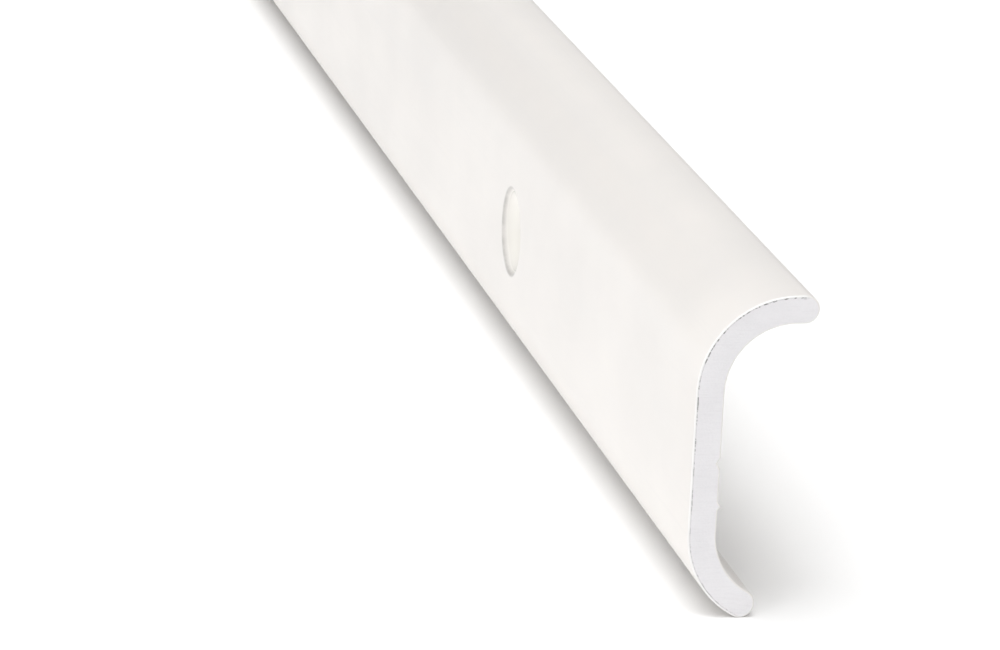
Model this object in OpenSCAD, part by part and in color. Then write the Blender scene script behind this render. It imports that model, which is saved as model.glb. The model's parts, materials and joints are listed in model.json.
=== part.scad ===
// Door sweep: a painted aluminium strip that closes the edge of a door leaf.
// The strip is one extrusion with a C-shaped section. Its flat web carries a row of
// countersunk holes for flat-head screws, and its two lips turn back towards the door.
//
// Frame: +X along the strip towards the cut end beside the open screw hole, +Z up,
// and -Y out of the outer face. The origin is the centre of the open screw hole,
// on the inner face of the web, where the drilled hole ends.

/* [Strip] */
// Length of the strip, cut to the width of the door leaf
rail_len = 609.6; // [560:0.1:660]
// Thickness of the wall, the same all round the section
wall = 2.5; // [2.4:0.1:2.8]
// Height of the flat web between the two bends
web_h = 12.5; // [11:0.5:15]
// Inside radius of both bends
bend_r = 6; // [5.5:0.1:7]

/* [Lips] */
// Straight length of the upper lip, past its quarter-circle bend
upper_lip = 0.6; // [0.2:0.1:3]
// Angle that the lower lip turns back through
lower_angle = 61; // [45:1:75]

/* [Inner face] */
// Width of the V groove that marks the line of the holes
groove_w = 1; // [0.6:0.1:1.2]
// Depth of the V groove
groove_depth = 0.3; // [0.1:0.05:0.35]
// Width of the small V ridge below the groove
ridge_w = 0.7; // [0.4:0.1:1]
// Height of the small V ridge
ridge_h = 0.25; // [0.1:0.05:0.3]
// Distance of the ridge below the line of the holes
ridge_drop = 3.8; // [3.4:0.1:4.4]

/* [Screw holes] */
// Distance from each cut end to the nearest hole
end_margin = 76.2; // [60:0.1:90]
// Diameter of the drilled hole
hole_d = 5; // [4.8:0.1:5.2]
// Diameter of the countersink at the outer face
sink_d = 8.7; // [8.6:0.1:9]
// Angle of the countersink and of the screw heads
sink_angle = 82; // [80:1:90]

/* [Screws] */
// Diameter of the flat head
head_d = 8.3; // [8:0.1:8.3]
// Thickness of the head's straight edge
head_edge = 0.2; // [0.1:0.05:0.2]
// Outside diameter of the thread
thread_d = 4.1; // [3.9:0.1:4.2]
// Length from the face of the head to the tip
screw_len = 19; // [16:0.5:26]
// Length of the pointed end
point_len = 4; // [3:0.5:5]
// Width of the flat at the very tip
tip_d = 0.4; // [0.2:0.1:0.6]
// Length across the cross recess
recess_span = 4.6; // [4:0.1:5]
// Width of each arm of the cross recess
recess_w = 1.1; // [0.9:0.1:1.3]
// Depth of the cross recess
recess_depth = 1.9; // [1.5:0.1:2]

/* [Hidden] */
$fn = 96;

// Four holes, evenly spaced between the two end holes; hole 1 is at the origin
HOLES = 4;
hole_pitch = (rail_len - 2 * end_margin) / (HOLES - 1);
function hole_x(number) = -(number - 1) * hole_pitch;

bend_out = bend_r + wall;
bend_mid = bend_r + wall / 2;
sink_slope = tan(sink_angle / 2);
sink_h = (sink_d - hole_d) / 2 / sink_slope;
head_cone_h = (head_d - thread_d) / 2 / sink_slope;
// Cutting shapes run this far past the faces they cut
OVERRUN = 0.5;

// A quarter turn or less of the wall, about its own centre, starting from the web
module bend(turn) {
    reach = 2 * bend_out;
    intersection() {
        difference() {
            circle(r = bend_out);
            circle(r = bend_r);
        }
        polygon([
            [0, 0],
            [-reach, 0],
            [-reach, reach * tan(turn / 2)],
            [-reach * cos(turn), reach * sin(turn)]
        ]);
    }
}

module upper_bend_and_lip() {
    translate([bend_r, web_h / 2]) {
        bend(90);
        translate([0, bend_r]) square([upper_lip, wall]);
        translate([upper_lip, bend_mid]) circle(d = wall);
    }
}

module lower_bend_and_lip() {
    translate([bend_r, -web_h / 2]) mirror([0, 1]) {
        bend(lower_angle);
        translate(bend_mid * [-cos(lower_angle), sin(lower_angle)]) circle(d = wall);
    }
}

// A V that stands out along x from a back set into the wall, for the ridge and the groove
module v_bar(depth, width) {
    polygon([
        [-OVERRUN, -width / 2],
        [0, -width / 2],
        [depth, 0],
        [0, width / 2],
        [-OVERRUN, width / 2]
    ]);
}

// The extruded section: x is the depth from the inner face of the web, y is the height
module section() {
    difference() {
        union() {
            translate([-wall, -web_h / 2]) square([wall, web_h]);
            upper_bend_and_lip();
            lower_bend_and_lip();
            translate([0, -ridge_drop]) v_bar(ridge_h, ridge_w);
        }
        mirror([1, 0]) v_bar(groove_depth, groove_w);
    }
}

// Everything that a countersunk screw hole takes out of the web, from its outer face along +Y
module screw_hole() {
    translate([0, -wall, 0]) rotate([-90, 0, 0]) {
        translate([0, 0, -OVERRUN]) cylinder(h = wall + 2 * OVERRUN, d = hole_d);
        translate([0, 0, -OVERRUN])
            cylinder(h = sink_h + OVERRUN, d1 = sink_d + 2 * OVERRUN * sink_slope, d2 = hole_d);
    }
}

module sweep_rail() {
    color("whitesmoke") difference() {
        translate([end_margin - rail_len, 0, 0])
            rotate([90, 0, 90]) linear_extrude(height = rail_len) section();
        for (number = [1 : HOLES]) translate([hole_x(number), 0, 0]) screw_hole();
    }
}

module cross_recess() {
    for (turn = [0, 90])
        rotate(turn) translate([-recess_span / 2, -recess_w / 2, -OVERRUN])
            cube([recess_span, recess_w, recess_depth + OVERRUN]);
}

// A flat-head screw, seated flush in the numbered hole
module mounting_screw(number) {
    color("gainsboro") translate([hole_x(number), -wall, 0]) rotate([-90, 0, 0]) difference() {
        union() {
            cylinder(h = head_edge, d = head_d);
            translate([0, 0, head_edge]) cylinder(h = head_cone_h, d1 = head_d, d2 = thread_d);
            cylinder(h = screw_len - point_len, d = thread_d);
            translate([0, 0, screw_len - point_len]) cylinder(h = point_len, d1 = thread_d, d2 = tip_d);
        }
        cross_recess();
    }
}

sweep_rail();
mounting_screw(2);  // mounting_screw_2
mounting_screw(3);  // mounting_screw_3
mounting_screw(4);  // mounting_screw_4
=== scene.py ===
import json
import math

import bmesh
import bpy
from mathutils import Matrix, Vector


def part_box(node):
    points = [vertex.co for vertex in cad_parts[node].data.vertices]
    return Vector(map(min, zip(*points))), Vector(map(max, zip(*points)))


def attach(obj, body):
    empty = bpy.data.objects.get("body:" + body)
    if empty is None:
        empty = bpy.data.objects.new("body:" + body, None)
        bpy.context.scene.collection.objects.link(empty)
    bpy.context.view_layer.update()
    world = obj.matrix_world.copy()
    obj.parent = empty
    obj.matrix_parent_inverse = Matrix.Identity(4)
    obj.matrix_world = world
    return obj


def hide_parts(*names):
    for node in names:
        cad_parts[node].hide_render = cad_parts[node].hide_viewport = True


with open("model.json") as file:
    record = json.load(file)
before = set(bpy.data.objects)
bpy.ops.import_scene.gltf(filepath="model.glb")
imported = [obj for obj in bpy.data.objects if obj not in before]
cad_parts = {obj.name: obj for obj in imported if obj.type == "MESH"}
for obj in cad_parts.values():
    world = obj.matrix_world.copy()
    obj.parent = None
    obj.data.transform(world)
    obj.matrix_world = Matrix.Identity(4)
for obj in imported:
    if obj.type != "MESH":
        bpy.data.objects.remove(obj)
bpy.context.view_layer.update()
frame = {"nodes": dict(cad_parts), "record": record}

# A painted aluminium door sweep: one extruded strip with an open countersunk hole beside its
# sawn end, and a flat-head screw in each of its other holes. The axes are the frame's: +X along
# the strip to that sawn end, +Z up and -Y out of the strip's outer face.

MM = 0.001
BODY = "root"

# ---------------------------------------------------------------- sizes, in the frame's metres

RAIL_LOW, RAIL_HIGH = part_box("sweep_rail")
SCREW_NODES = sorted(name for name in frame["nodes"] if name.startswith("mounting_screw"))
OPEN_HOLE = next(m for m in frame["record"]["mounts"] if m["name"] == "open_screw_hole")

BEND_R = 6 * MM                                  # inside radius of both bends
WALL = -RAIL_LOW.y                               # the web's inner face is at y = 0
BEND_OUT = BEND_R + WALL
BEND_MID = BEND_R + WALL / 2
WEB_HALF = RAIL_HIGH.z - BEND_OUT                # half the height of the flat web
UPPER_LIP = RAIL_HIGH.y - BEND_R - WALL / 2      # straight part of the upper lip
LOWER_TURN = math.asin((-RAIL_LOW.z - WEB_HALF - WALL / 2) / BEND_MID)
GROOVE_HALF, GROOVE_DEPTH = 0.5 * MM, 0.3 * MM   # V groove along the line of the holes
RIDGE_Z, RIDGE_HALF, RIDGE_H = -3.8 * MM, 0.35 * MM, 0.25 * MM

HOLE_R = OPEN_HOLE["dims"]["r_mm"] * MM
SINK_R = 4.35 * MM                               # countersink at the outer face
SINK_ANGLE = math.radians(82)                    # full angle of countersinks and screw heads
SINK_SLOPE = math.tan(SINK_ANGLE / 2)
SINK_H = (SINK_R - HOLE_R) / SINK_SLOPE
RIM_ROUND = 0.45 * MM                            # paint rounds the countersink's rim
RIM_TURN = (math.pi - SINK_ANGLE) / 2            # from the outer face to the cone
EDGE_ROUND = 0.15 * MM                           # paint rounds the strip's cut edges too
EDGE_TURNS = [math.radians(turn) for turn in (30, 60, 90)]    # rings of points on a rounded edge


def centre_x(node):
    low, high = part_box(node)
    return (low.x + high.x) / 2


HOLE_XS = sorted([0.0] + [centre_x(node) for node in SCREW_NODES])


# ---------------------------------------------------------------- mesh helpers

def finish_mesh(name, bm, materials, sharp_angle=25):
    """Turns a bmesh into a smooth-shaded piece whose corners over sharp_angle stay crisp."""
    bmesh.ops.recalc_face_normals(bm, faces=bm.faces)
    limit = math.radians(sharp_angle)
    for edge in bm.edges:
        if len(edge.link_faces) == 2 and edge.calc_face_angle(0) > limit:
            edge.smooth = False
    for face in bm.faces:
        face.smooth = True
    mesh = bpy.data.meshes.new(name)
    bm.to_mesh(mesh)
    bm.free()
    piece = bpy.data.objects.new(name, mesh)
    bpy.context.scene.collection.objects.link(piece)
    for material in materials:
        mesh.materials.append(material)
    return piece


def bridge(bm, ring_a, ring_b, material=0):
    """Quads between two closed rings of the same length."""
    for k in range(len(ring_a)):
        n = (k + 1) % len(ring_a)
        corners = (ring_a[k], ring_a[n], ring_b[n], ring_b[k])
        bm.faces.new(corners).material_index = material


# ---------------------------------------------------------------- the strip's section

# Rows of the web, from its centre up to each bend. The rows above and below the centre part
# are equal in number, because the patches round the holes join them ring to ring.
CENTRE_ROWS = [0.5, 1.2, 1.95, 2.7, 3.45]
UPPER_ROWS = [4.15, 4.85, 5.55]
LOWER_ROWS = [3.8, 4.15, 5.2]
WEB_ROWS = ([-WEB_HALF] + [-z * MM for z in reversed(CENTRE_ROWS + LOWER_ROWS)] + [0.0]
            + [z * MM for z in CENTRE_ROWS + UPPER_ROWS] + [WEB_HALF])
PATCH_HALF_Z = CENTRE_ROWS[-1] * MM
BEND_STEP = math.radians(2)
TIP_STEPS = 20


def inner_y(z):
    """Depth of the web's inner face at height z: flat, with the groove and the ridge."""
    groove = max(0.0, 1 - abs(z) / GROOVE_HALF) * GROOVE_DEPTH
    ridge = max(0.0, 1 - abs(z - RIDGE_Z) / RIDGE_HALF) * RIDGE_H
    return ridge - groove


def arc_steps(turn):
    """Equal angles of about BEND_STEP up to turn, without zero."""
    count = math.ceil(turn / BEND_STEP)
    return [turn * i / count for i in range(1, count + 1)]


def wall_pairs():
    """The section as rungs (outer point, inner point) from the lower tip to the upper tip."""
    rungs = []
    for turn in reversed(arc_steps(LOWER_TURN)):
        out = Vector((-math.cos(turn), -math.sin(turn)))
        centre = Vector((BEND_R, -WEB_HALF))
        rungs.append((centre + BEND_OUT * out, centre + BEND_R * out))
    for z in WEB_ROWS:
        rungs.append((Vector((-WALL, z)), Vector((inner_y(z), z))))
    for turn in arc_steps(math.pi / 2):
        out = Vector((-math.cos(turn), math.sin(turn)))
        centre = Vector((BEND_R, WEB_HALF))
        rungs.append((centre + BEND_OUT * out, centre + BEND_R * out))
    lip = Vector((UPPER_LIP, 0))
    rungs.append((rungs[-1][0] + lip, rungs[-1][1] + lip))
    return rungs


def tip_arc(start, end):
    """Points of the half circle from start to end, without its two ends."""
    centre = (start + end) / 2
    spoke = start - centre
    ahead = Vector((spoke.y, -spoke.x))
    angles = [math.pi * i / TIP_STEPS for i in range(1, TIP_STEPS)]
    return [centre + spoke * math.cos(a) + ahead * math.sin(a) for a in angles]


RUNGS = wall_pairs()
UPPER_TIP = tip_arc(RUNGS[-1][0], RUNGS[-1][1])
LOWER_TIP = tip_arc(RUNGS[0][1], RUNGS[0][0])
# Closed outline: up the outer side, round the upper tip, down the inner side, round the lower tip
OUTLINE = [r[0] for r in RUNGS] + UPPER_TIP + [r[1] for r in reversed(RUNGS)] + LOWER_TIP
INNER_START = len(RUNGS) + len(UPPER_TIP)
WEB_FIRST = len(arc_steps(LOWER_TURN))           # the web's lowest row, after the lower bend's


def outer_index(z):
    """Outline index of the outer face's row at height z."""
    return WEB_FIRST + min(range(len(WEB_ROWS)), key=lambda i: abs(WEB_ROWS[i] - z))


def inner_index(z):
    """Outline index of the inner face's row at height z."""
    return INNER_START + len(RUNGS) - 1 - outer_index(z)


def outline_normals():
    """Unit normals that point out of the wall, one for each point of the outline."""
    normals = []
    for i, point in enumerate(OUTLINE):
        along = OUTLINE[(i + 1) % len(OUTLINE)] - OUTLINE[i - 1]
        normals.append(Vector((-along.y, along.x)).normalized())
    return normals


NORMALS = outline_normals()


# ---------------------------------------------------------------- the strip

STEP = 0.5 * MM                      # along X round a hole
LONG_STEP = 12 * MM                  # along X elsewhere, at most
# Cells along X in the patches round a hole. The inner patch has fewer rows, so it has more
# cells: both borders then have the same number of points.
OUTER_CELLS, INNER_CELLS = 25, 33
# Painted shade, a dark grey broken up by noise, on the rings of the rim from the outer face inwards, then
# on those of the cone
RIM_SHADE = (0.0, 0.3, 0.8, 1.0, 1.0, 1.0, 0.8)
CONE_RIM_SHADE = (0.25, 0.0, 0.0, 0.0)
CONE_LIGHT_AND_GLOSS = (0.7, 1.0, 1.0, 1.0)   # how much each ring of the cone is painted lighter, a painted light, and made glossier
EDGE_HIGHLIGHT_OUTER, EDGE_HIGHLIGHT_INNER = 1.0, 0.3    # how strongly the rounded paint edge at a cut end is painted lighter, a painted highlight
END_SHARES = (0.06, 0.2, 0.5, 0.8)   # columns of points across the wall on a sawn face


def stations():
    """Places along X where the section has a ring of points: close together round each hole."""
    xs = [RAIL_LOW.x + EDGE_ROUND, RAIL_HIGH.x - EDGE_ROUND]
    for hole in HOLE_XS:
        xs += [hole + (i - INNER_CELLS / 2) * STEP for i in range(INNER_CELLS + 1)]
    xs.sort()
    filled = [xs[0]]
    for x in xs[1:]:
        gaps = max(1, math.ceil((x - filled[-1]) / LONG_STEP))
        start = filled[-1]
        filled += [start + (x - start) * i / gaps for i in range(1, gaps + 1)]
    return filled


class Strip:
    """The strip's mesh: a grid of stations by outline points, with a patch round each hole."""

    def __init__(self):
        self.bm = bmesh.new()
        self.across = self.bm.verts.layers.float.new("across_wall")
        # The next three layers say where to paint shade on the countersink rims, a highlight on the
        # rounded cut edges and light on the countersink cones
        self.rim_shade = self.bm.verts.layers.float.new("painted_rim_shade")
        self.edge_highlight = self.bm.verts.layers.float.new("painted_edge_highlight")
        self.cone_light_and_gloss = self.bm.verts.layers.float.new("painted_cone_light_and_gloss")
        self.xs = stations()
        self.verts = {}

    def at(self, i, j):
        """The grid's vertex at station i and outline point j, made when first asked for."""
        key = (i, j % len(OUTLINE))
        if key not in self.verts:
            point = OUTLINE[key[1]]
            self.verts[key] = self.bm.verts.new((self.xs[i], point.x, point.y))
        return self.verts[key]

    def near_hole(self, i, cells):
        middle = (self.xs[i] + self.xs[i + 1]) / 2
        return any(abs(middle - hole) < cells * STEP / 2 for hole in HOLE_XS)

    def skin(self):
        """The painted surface, apart from the patches round the holes."""
        outer = range(outer_index(-WEB_HALF), outer_index(WEB_HALF))
        inner = range(inner_index(PATCH_HALF_Z), inner_index(-PATCH_HALF_Z))
        for i in range(len(self.xs) - 1):
            for j in range(len(OUTLINE)):
                if j in outer and self.near_hole(i, OUTER_CELLS):
                    continue
                if j in inner and self.near_hole(i, INNER_CELLS):
                    continue
                corners = (self.at(i, j), self.at(i, j + 1), self.at(i + 1, j + 1), self.at(i + 1, j))
                self.bm.faces.new(corners)

    def border(self, hole, cells, rows):
        """The closed ring of grid points round a hole, from its +X side, turning towards +Z.
        rows are the outline indices of the patch's rows, from the lowest to the highest."""
        first = min(range(len(self.xs)), key=lambda i: abs(self.xs[i] - hole + cells * STEP / 2))
        last = first + cells
        middle = rows.index(outer_index(0) if rows[0] < INNER_START else inner_index(0))
        ring = [self.at(last, j) for j in rows[middle:]]
        ring += [self.at(i, rows[-1]) for i in range(last - 1, first - 1, -1)]
        ring += [self.at(first, j) for j in reversed(rows[:-1])]
        ring += [self.at(i, rows[0]) for i in range(first + 1, last + 1)]
        ring += [self.at(last, j) for j in rows[1:middle]]
        return ring

    def circle(self, hole, radius, y, groove_share=0.0):
        """A ring of points round a hole, at a depth y or on a surface y(z). With groove_share 1
        the first points off the X axis lie on the edges of the groove."""
        count = 2 * (OUTER_CELLS + len(WEB_ROWS) - 1)
        quarter = count / 4
        first = math.asin(GROOVE_HALF / HOLE_R)
        ring = []
        for k in range(count):
            side, sign = k % (count / 2), 1
            if side > quarter:
                side, sign = count / 2 - side, -1
            even = math.pi / 2 * side / quarter
            lined_up = 0.0 if side == 0 else first + (math.pi / 2 - first) * (side - 1) / (quarter - 1)
            angle = even + (lined_up - even) * groove_share
            angle = math.pi - angle if sign < 0 else angle
            angle += math.pi if k >= count / 2 else 0.0
            x, z = radius * math.cos(angle), radius * math.sin(angle)
            depth = y(z) if callable(y) else y
            ring.append(self.bm.verts.new((hole + x, depth, z)))
        return ring

    def blend_rings(self, border, circle, shares, depth):
        """Rings between a patch's border and a circle, on the surface y = depth(z)."""
        rings = [border]
        for share in shares:
            ring = []
            for a, b in zip(border, circle):
                x, z = a.co.x + (b.co.x - a.co.x) * share, a.co.z + (b.co.z - a.co.z) * share
                ring.append(self.bm.verts.new((x, depth(z), z)))
            rings.append(ring)
        return rings + [circle]

    def drill(self, hole):
        """The countersunk hole: outer patch, rounded rim, cone, land and inner patch."""
        rows = [outer_index(z) for z in WEB_ROWS]
        outer_border = self.border(hole, OUTER_CELLS, rows)
        rows = [inner_index(z) for z in WEB_ROWS if abs(z) <= PATCH_HALF_Z + 1e-9]
        inner_border = self.border(hole, INNER_CELLS, rows)
        start = SINK_R + RIM_ROUND * math.tan(RIM_TURN / 2)
        rings = []
        # Each rim ring carries how much painted shade it gets
        for i, shade_amount in enumerate(RIM_SHADE):
            bend = RIM_TURN * i / (len(RIM_SHADE) - 1)
            radius = start - RIM_ROUND * math.sin(bend)
            rings.append(self.circle(hole, radius, RIM_ROUND * (1 - math.cos(bend)) - WALL))
            for vert in rings[-1]:
                vert[self.rim_shade] = shade_amount
        # Cone rings: painted rim shade on the first, and painted light with extra gloss on all of them
        for i, (shade_amount, cone_light_and_gloss) in enumerate(zip(CONE_RIM_SHADE, CONE_LIGHT_AND_GLOSS), start=1):
            share = i / len(CONE_RIM_SHADE)
            depth = SINK_H * share
            rings.append(self.circle(hole, SINK_R - depth * SINK_SLOPE, depth - WALL, share))
            for vert in rings[-1]:
                vert[self.cone_light_and_gloss] = cone_light_and_gloss
                vert[self.rim_shade] = shade_amount
        rings.append(self.circle(hole, HOLE_R, inner_y, 1.0))
        outer = self.blend_rings(outer_border, rings[0], (0.4, 0.7, 0.9, 0.98), lambda z: -WALL)
        inner = self.blend_rings(inner_border, rings[-1], (0.4, 0.7, 0.9), inner_y)
        chain = outer[:-1] + rings + inner[-2::-1]
        for ring_a, ring_b in zip(chain, chain[1:]):
            bridge(self.bm, ring_a, ring_b)

    def inset_ring(self, x, inset):
        """The outline as a ring of points at x, moved into the wall by inset."""
        points = [p - n * inset for p, n in zip(OUTLINE, NORMALS)]
        return [self.bm.verts.new((x, p.x, p.y)) for p in points]

    def cut_end(self, i, x_end):
        """Closes one end: a rounded paint edge, then the sawn face in quads across the wall."""
        inwards = 1 if self.xs[i] > x_end else -1
        ring = [self.at(i, j) for j in range(len(OUTLINE))]
        for turn in EDGE_TURNS:
            inset = EDGE_ROUND * (1 - math.cos(turn))
            x = x_end + inwards * EDGE_ROUND * (1 - math.sin(turn))
            following = self.inset_ring(x, inset)
            bridge(self.bm, ring, following)
            ring = following
            # The rounded edge's rings are marked for the painted highlight, fully on the outer side and
            # weakly on the inner
            for k, vert in enumerate(ring):
                vert[self.edge_highlight] = EDGE_HIGHLIGHT_OUTER if k < len(RUNGS) else EDGE_HIGHLIGHT_INNER
        border_edges = [self.bm.edges.get((ring[k - 1], ring[k])) for k in range(len(ring))]
        for edge in border_edges:
            edge.smooth = False
        for k in range(TIP_STEPS - 1):
            share = (1 - math.cos(math.pi * (k + 1) / TIP_STEPS)) / 2
            ring[len(RUNGS) + k][self.across] = share
            ring[INNER_START + len(RUNGS) + k][self.across] = 1 - share
        columns = []
        for k in range(len(RUNGS)):
            outer, inner = ring[k], ring[INNER_START + len(RUNGS) - 1 - k]
            line = [outer]
            for share in END_SHARES:
                vert = self.bm.verts.new(outer.co.lerp(inner.co, share))
                vert[self.across] = share
                line.append(vert)
            inner[self.across] = 1.0
            columns.append(line + [inner])
        for line_a, line_b in zip(columns, columns[1:]):
            for c in range(len(END_SHARES) + 1):
                face = self.bm.faces.new((line_a[c], line_a[c + 1], line_b[c + 1], line_b[c]))
                face.material_index = 1
        upper = ring[len(RUNGS):INNER_START]
        lower = ring[INNER_START + len(RUNGS):]
        self.bm.faces.new(upper + columns[-1][::-1]).material_index = 1
        self.bm.faces.new(lower + columns[0]).material_index = 1


def build_strip(materials):
    strip = Strip()
    strip.skin()
    for hole in HOLE_XS:
        strip.drill(hole)
    strip.cut_end(0, RAIL_LOW.x)
    strip.cut_end(len(strip.xs) - 1, RAIL_HIGH.x)
    return finish_mesh("sweep_rail_painted", strip.bm, materials)


# ---------------------------------------------------------------- the screws

HEAD_R, HEAD_EDGE = 4.15 * MM, 0.2 * MM
HEAD_SOFT = 0.12 * MM                            # rounding round the head's face
SHANK_R, ROOT_R = 2.05 * MM, 1.55 * MM           # crest and root of the thread
NECK_R = SHANK_R - 0.15 * MM                     # plain part between head and thread
RECESS_SPAN, RECESS_ARM = 2.3 * MM, 0.55 * MM    # half the length and half the width of its slots
# The cross recess from its floor up to the head's face: half length, half width, depth
RECESS = (
    (RECESS_SPAN * 0.42, RECESS_ARM * 0.7, 1.9 * MM),
    (RECESS_SPAN * 0.9, RECESS_ARM * 0.92, 0.45 * MM),
    (RECESS_SPAN - 0.05 * MM, RECESS_ARM - 0.05 * MM, 0.08 * MM),
    (RECESS_SPAN, RECESS_ARM, 0.0),
)
THREAD_PITCH, THREAD_START = 1.41 * MM, 1.6 * MM
RIDGE_SHARE, RIDGE_POWER = 0.32, 1.3             # half width in pitches, and sharpness of its crest
POINT_LENGTH, TIP_R = 4 * MM, 0.2 * MM
ROWS_PER_PITCH = 16


def cross_outline(span, arm):
    """The recess's cross outline, 48 points counter-clockwise, symmetric in each octant."""
    octant = [(span, 0.0), (span, arm * 0.6), (span - arm * 0.25, arm)]
    octant += [(arm + (span - arm) * share, arm) for share in (0.6, 0.35, 0.15)]
    corner = (arm * 1.06, arm * 1.06)
    quarter = octant + [corner] + [(z, x) for x, z in reversed(octant[1:])]
    outline = []
    for turn in range(4):
        for x, z in quarter:
            for _ in range(turn):
                x, z = -z, x
            outline.append((x, z))
    return outline


def thread_radius(y, angle, tip_y):
    """Radius of the shank at depth y: a plain neck, then a helical thread that tapers to the point."""
    taper = min(1.0, (tip_y - y) / POINT_LENGTH)
    root = TIP_R + (ROOT_R - TIP_R) * taper
    crest = TIP_R + (SHANK_R - TIP_R) * taper
    phase = (y / THREAD_PITCH - angle / math.tau) % 1
    ridge = max(0.0, 1 - abs(phase - 0.5) / RIDGE_SHARE) ** RIDGE_POWER
    threaded = min(1.0, max(0.0, (y - THREAD_START) / (THREAD_PITCH / 2)))
    return (NECK_R + (root - NECK_R) * threaded) + (crest - root) * ridge * threaded


def build_screw(node, materials):
    """A flat-head screw: cross recess, painted head and cone, threaded zinc shank and point."""
    low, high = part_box(node)
    middle = centre_x(node)
    bm = bmesh.new()

    def ring(points, y):
        return [bm.verts.new((middle + x, y, z)) for x, z in points]

    angles = [math.atan2(z, x) for x, z in cross_outline(RECESS_SPAN, RECESS_ARM)]
    even = [math.tau * k / len(angles) for k in range(len(angles))]

    def circle(radius, share=1.0):
        """Points of a circle: with share 0 in line with the recess's corners, with 1 evenly spaced."""
        points = []
        for rough, smooth in zip(angles, even):
            angle = rough + ((smooth - rough + math.pi) % math.tau - math.pi) * share
            points.append((radius * math.cos(angle), radius * math.sin(angle)))
        return points

    face_y = low.y
    rings = [ring(cross_outline(span, arm), face_y + depth) for span, arm, depth in RECESS]
    rings.append(ring(circle(RECESS_SPAN + 0.5 * MM, 0.5), face_y))
    rings.append(ring(circle(HEAD_R - HEAD_SOFT), face_y))
    for turn in EDGE_TURNS:
        radius = HEAD_R - HEAD_SOFT * (1 - math.sin(turn))
        rings.append(ring(circle(radius), face_y + HEAD_SOFT * (1 - math.cos(turn))))
    cone_y = face_y + HEAD_EDGE
    neck_y = cone_y + (HEAD_R - NECK_R) / SINK_SLOPE
    rings.append(ring(circle(HEAD_R), cone_y))
    rings.append(ring(circle((HEAD_R + NECK_R) / 2), (cone_y + neck_y) / 2))
    head_rings = len(rings)
    rows = math.ceil((high.y - neck_y) / (THREAD_PITCH / ROWS_PER_PITCH))
    for row in range(rows + 1):
        y = neck_y + (high.y - neck_y) * row / rows
        radii = [thread_radius(y, a, high.y) for a in even]
        rings.append(ring([(r * math.cos(a), r * math.sin(a)) for r, a in zip(radii, even)], y))
    bm.faces.new(rings[0])
    for k, (ring_a, ring_b) in enumerate(zip(rings, rings[1:])):
        bridge(bm, ring_a, ring_b, 0 if k < head_rings else 1)
    bm.faces.new(rings[-1]).material_index = 1
    return finish_mesh(node + "_detailed", bm, materials, 35)


# ---------------------------------------------------------------- materials

class Nodes:
    """A material's node tree, with short helpers for adding and linking nodes."""

    def __init__(self, name):
        self.material = bpy.data.materials.new(name)
        self.material.use_nodes = True
        self.tree = self.material.node_tree
        self.shader = self.tree.nodes["Principled BSDF"]

    def link(self, source, target):
        self.tree.links.new(source, target)

    def add(self, kind, inputs=None, **settings):
        """A new node. Its inputs are values or other nodes' outputs, its settings are properties."""
        node = self.tree.nodes.new(kind)
        for key, value in settings.items():
            setattr(node, key, value)
        for key, value in (inputs or {}).items():
            if hasattr(value, "is_output"):
                self.link(value, node.inputs[key])
            else:
                node.inputs[key].default_value = value
        return node

    def stretched(self, scale):
        """Object coordinates multiplied by scale along each axis."""
        coords = self.add("ShaderNodeTexCoord").outputs["Object"]
        return self.add("ShaderNodeMapping", {"Vector": coords, "Scale": scale}).outputs["Vector"]

    def noise(self, scale, detail=2.0, rough=0.5):
        """Noise whose cells are about 1 / scale metres along each axis."""
        settings = {"Vector": self.stretched(scale), "Scale": 1.0, "Detail": detail, "Roughness": rough}
        return self.add("ShaderNodeTexNoise", settings).outputs["Fac"]

    def remap(self, value, low, high, to_low=0.0, to_high=1.0):
        """Value taken from the range low to high into the range to_low to to_high, and clamped."""
        settings = {"Value": value, "From Min": low, "From Max": high, "To Min": to_low, "To Max": to_high}
        return self.add("ShaderNodeMapRange", settings).outputs["Result"]

    def math(self, operation, a, b):
        return self.add("ShaderNodeMath", {0: a, 1: b}, operation=operation).outputs[0]

    def mix(self, factor, a, b):
        node = self.add("ShaderNodeMix", data_type="RGBA")
        for socket, value in ((node.inputs[0], factor), (node.inputs[6], a), (node.inputs[7], b)):
            if hasattr(value, "is_output"):
                self.link(value, socket)
            else:
                socket.default_value = value
        return node.outputs[2]

    def attribute(self, name):
        return self.add("ShaderNodeAttribute", attribute_name=name).outputs["Fac"]

    def bump(self, height, distance, strength=1.0, under=None):
        node = self.add("ShaderNodeBump", {"Height": height, "Distance": distance, "Strength": strength})
        if under is not None:
            self.link(under, node.inputs["Normal"])
        return node.outputs["Normal"]


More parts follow.
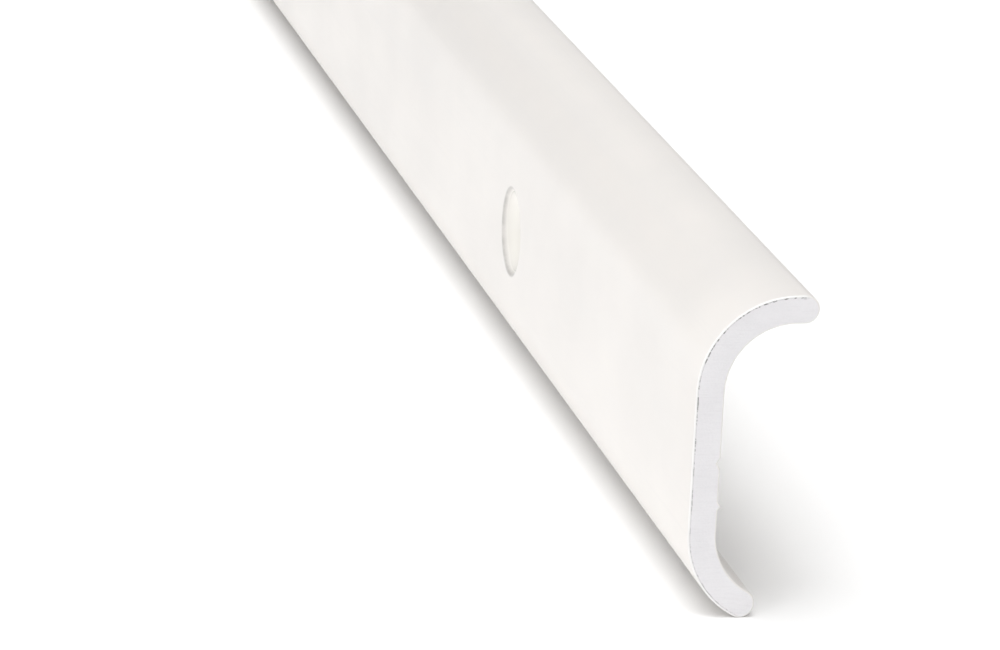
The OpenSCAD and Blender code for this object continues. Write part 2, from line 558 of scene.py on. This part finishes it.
def paint_material():
    """Satin warm-white enamel over an extrusion: faint lengthwise lines and orange peel, with painted
    shade round the countersink rims, a painted highlight on the rounded cut edges and painted light on the
    countersink cones.
    """
    n = Nodes("white_paint")
    die_lines = n.noise((9, 2300, 2300), 3.0)
    broad_bands = n.noise((5, 420, 420), 2.0)
    clouds = n.noise((55, 90, 90), 3.0)
    peel = n.noise((1500, 1500, 1500), 2.0)
    warm, cool = (0.80, 0.768, 0.736, 1), (0.765, 0.738, 0.712, 1)
    body = n.mix(n.remap(clouds, 0.35, 0.65), warm, cool)
    body = n.mix(n.remap(broad_bands, 0.3, 0.7, 0.0, 0.45), body, (0.765, 0.745, 0.724, 1))
    body = n.mix(n.remap(die_lines, 0.58, 0.8, 0.0, 0.3), body, (0.73, 0.712, 0.695, 1))
    chips = n.noise((900, 900, 900), 3.0, 0.6)
    # Painted shade: a dark grey band round each countersink rim, broken up by noise
    rim_shade = n.math("MULTIPLY", n.attribute("painted_rim_shade"), n.remap(chips, 0.32, 0.6, 0.5, 1.0))
    body = n.mix(n.math("MULTIPLY", rim_shade, 0.7), body, (0.42, 0.41, 0.39, 1))
    # Painted highlight: the rounded paint edges at the cut ends are painted lighter
    body = n.mix(n.attribute("painted_edge_highlight"), body, (0.85, 0.84, 0.83, 1))
    # Painted light: the countersink cones are painted a lighter warm white, and their roughness is lowered
    cone_light_and_gloss = n.attribute("painted_cone_light_and_gloss")
    body = n.mix(cone_light_and_gloss, body, (0.90, 0.88, 0.835, 1))
    n.link(body, n.shader.inputs["Base Color"])
    satin = n.remap(clouds, 0.3, 0.7, 0.30, 0.37)
    n.link(n.math("SUBTRACT", satin, n.math("MULTIPLY", cone_light_and_gloss, 0.12)), n.shader.inputs["Roughness"])
    lines = n.bump(die_lines, 0.00002, 0.35)
    n.link(n.bump(peel, 0.00003, 0.25, lines), n.shader.inputs["Normal"])
    return n.material


def sawn_material():
    """Bare sawn aluminium: fine saw scratches, with dark chips where the blade broke the paint."""
    n = Nodes("sawn_aluminium")
    scratches = n.noise((900, 700, 7500), 3.0, 0.6)
    grain = n.noise((5200, 5200, 5200), 2.0)
    patches = n.noise((260, 260, 260), 2.0)
    metal = n.mix(n.remap(patches, 0.3, 0.7), (0.86, 0.848, 0.862, 1), (0.825, 0.813, 0.828, 1))
    metal = n.mix(n.remap(scratches, 0.5, 0.85, 0.0, 0.3), metal, (0.72, 0.71, 0.725, 1))
    across = n.attribute("across_wall")
    drag_line = n.remap(across, 0.055, 0.02, 0.0, 0.28)
    metal = n.mix(drag_line, metal, (0.42, 0.41, 0.41, 1))
    uneven = n.noise((1000, 1000, 1000), 2.0)
    depth = n.math("ADD", across, n.remap(uneven, 0.3, 0.7, -0.02, 0.03))
    near_edge = n.remap(depth, 0.064, 0.042)
    broken = n.remap(n.noise((1000, 1900, 1900), 2.0, 0.7), 0.47, 0.58)
    low_z = n.add("ShaderNodeSeparateXYZ", {0: n.stretched((1, 1, 1))}).outputs["Z"]
    mostly_top = n.remap(low_z, -0.006, 0.011, 0.3, 1.0)
    chips = n.math("MULTIPLY", n.math("MULTIPLY", near_edge, broken), mostly_top)
    metal = n.mix(n.math("MULTIPLY", chips, 0.85), metal, (0.17, 0.165, 0.16, 1))
    n.link(metal, n.shader.inputs["Base Color"])
    n.shader.inputs["Metallic"].default_value = 1.0
    n.link(n.remap(grain, 0.3, 0.7, 0.5, 0.62), n.shader.inputs["Roughness"])
    lines = n.bump(scratches, 0.00003, 0.5)
    n.link(n.bump(grain, 0.00002, 0.4, lines), n.shader.inputs["Normal"])
    return n.material


def screw_paint_material():
    """The same enamel on the screw heads, rubbed thin in small spots."""
    n = Nodes("screw_head_paint")
    clouds = n.noise((300, 300, 300), 3.0)
    rubbed = n.noise((1400, 1400, 1400), 3.0)
    body = n.mix(n.remap(clouds, 0.35, 0.65), (0.80, 0.775, 0.745, 1), (0.755, 0.735, 0.71, 1))
    body = n.mix(n.remap(rubbed, 0.62, 0.75, 0.0, 0.4), body, (0.55, 0.55, 0.54, 1))
    n.link(body, n.shader.inputs["Base Color"])
    n.link(n.remap(clouds, 0.3, 0.7, 0.3, 0.42), n.shader.inputs["Roughness"])
    n.link(n.bump(rubbed, 0.00003, 0.4), n.shader.inputs["Normal"])
    return n.material


def zinc_material():
    """Zinc-plated steel: bright, slightly blue, with mottling and rolled-thread marks."""
    n = Nodes("zinc_steel")
    mottle = n.noise((900, 900, 900), 3.0, 0.6)
    rolled = n.noise((2500, 9000, 2500), 2.0)
    metal = n.mix(n.remap(mottle, 0.3, 0.7), (0.66, 0.67, 0.69, 1), (0.50, 0.51, 0.53, 1))
    n.link(metal, n.shader.inputs["Base Color"])
    n.shader.inputs["Metallic"].default_value = 1.0
    n.link(n.remap(mottle, 0.3, 0.7, 0.26, 0.42), n.shader.inputs["Roughness"])
    n.link(n.bump(rolled, 0.00003, 0.35), n.shader.inputs["Normal"])
    return n.material


def floor_material():
    """Plain matt white."""
    n = Nodes("floor")
    n.shader.inputs["Base Color"].default_value = (1, 1, 1, 1)
    n.shader.inputs["Roughness"].default_value = 0.8
    n.shader.inputs["Specular IOR Level"].default_value = 0.2
    return n.material


# ---------------------------------------------------------------- the pieces

rail = build_strip([paint_material(), sawn_material()])
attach(rail, BODY)
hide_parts("sweep_rail")

screw_materials = [screw_paint_material(), zinc_material()]
for node in SCREW_NODES:
    screw = build_screw(node, screw_materials)
    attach(screw, BODY)
    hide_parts(node)

# ---------------------------------------------------------------- stage, light and camera

FLOOR_SIZE = 40


def make_floor():
    bpy.ops.mesh.primitive_plane_add(size=FLOOR_SIZE, location=(0, 0, RAIL_LOW.z))
    floor = bpy.context.object
    floor.name = "floor"
    floor.data.materials.append(floor_material())


# The camera stands off the cut end and looks down on it: place in metres, then degrees round
# from the front (-Y) towards +X, degrees up, and degrees of roll
CAMERA_AT = (0.47927, -0.10732, 0.12891)
CAMERA_ROUND, CAMERA_UP, CAMERA_ROLL = 77.736, 15.767, 2.809
CAMERA_LENS = 185.2                              # on a 36 mm wide sensor


def make_camera():
    data = bpy.data.cameras.new("camera")
    data.lens = CAMERA_LENS
    data.sensor_width = 36
    data.clip_start = 0.01
    camera = bpy.data.objects.new("camera", data)
    bpy.context.scene.collection.objects.link(camera)
    camera.location = CAMERA_AT
    turn = Matrix.Rotation(math.radians(CAMERA_ROUND), 3, "Z")
    tilt = Matrix.Rotation(math.radians(90 - CAMERA_UP), 3, "X")
    roll = Matrix.Rotation(math.radians(CAMERA_ROLL), 3, "Z")
    camera.rotation_mode = "QUATERNION"
    camera.rotation_quaternion = (turn @ tilt @ roll).to_quaternion()
    bpy.context.scene.camera = camera


# Soft lights: name, degrees round from the front (-Y) towards +X, degrees up, strength, width
SOFT_LIGHTS = [
    ("overhead", -5, 77, 0.49, 40),
    ("low_left", -35, 12, 0.065, 35),
    ("edge_left", -37, 3, 0.085, 30),
    ("far_rim", -102, 18, 0.024, 30),
    ("back_fill", 180, 12, 0.07, 40),
    ("front_right", 45, 40, 0.05, 40),
    ("right", 78, 42, 0.07, 35),
    ("behind_right", 105, 68, 0.27, 35),
]
WORLD_LIGHT = 0.25
# A lamp in front of the strip's near part: place, the point it faces, width and power
SOFTBOX_AT, SOFTBOX_AIM = Vector((0.42, -0.36, 0.1)), Vector((0.05, 0, 0))
SOFTBOX_SIZE, SOFTBOX_POWER = 0.2, 0.6


def add_lamp(name, kind, facing):
    """A new lamp of a kind, turned to shine along the vector facing."""
    lamp = bpy.data.objects.new(name, bpy.data.lights.new(name, kind))
    bpy.context.scene.collection.objects.link(lamp)
    lamp.rotation_mode = "QUATERNION"
    lamp.rotation_quaternion = facing.to_track_quat("-Z", "Y")
    return lamp


def make_light():
    world = bpy.data.worlds.new("studio")
    bpy.context.scene.world = world
    world.use_nodes = True
    background = world.node_tree.nodes["Background"]
    background.inputs["Color"].default_value = (1, 1, 1, 1)
    background.inputs["Strength"].default_value = WORLD_LIGHT
    for name, around, up, strength, width in SOFT_LIGHTS:
        around, up = math.radians(around), math.radians(up)
        level = math.cos(up)
        source = Vector((math.sin(around) * level, -math.cos(around) * level, math.sin(up)))
        sun = add_lamp(name, "SUN", -source)
        sun.data.energy = strength * math.pi
        sun.data.angle = math.radians(width)
    softbox = add_lamp("front_softbox", "AREA", SOFTBOX_AIM - SOFTBOX_AT)
    softbox.location = SOFTBOX_AT
    softbox.data.size = SOFTBOX_SIZE
    softbox.data.energy = SOFTBOX_POWER
    softbox.visible_camera = False


make_floor()
make_camera()
make_light()
bpy.context.scene.view_settings.view_transform = "Standard"
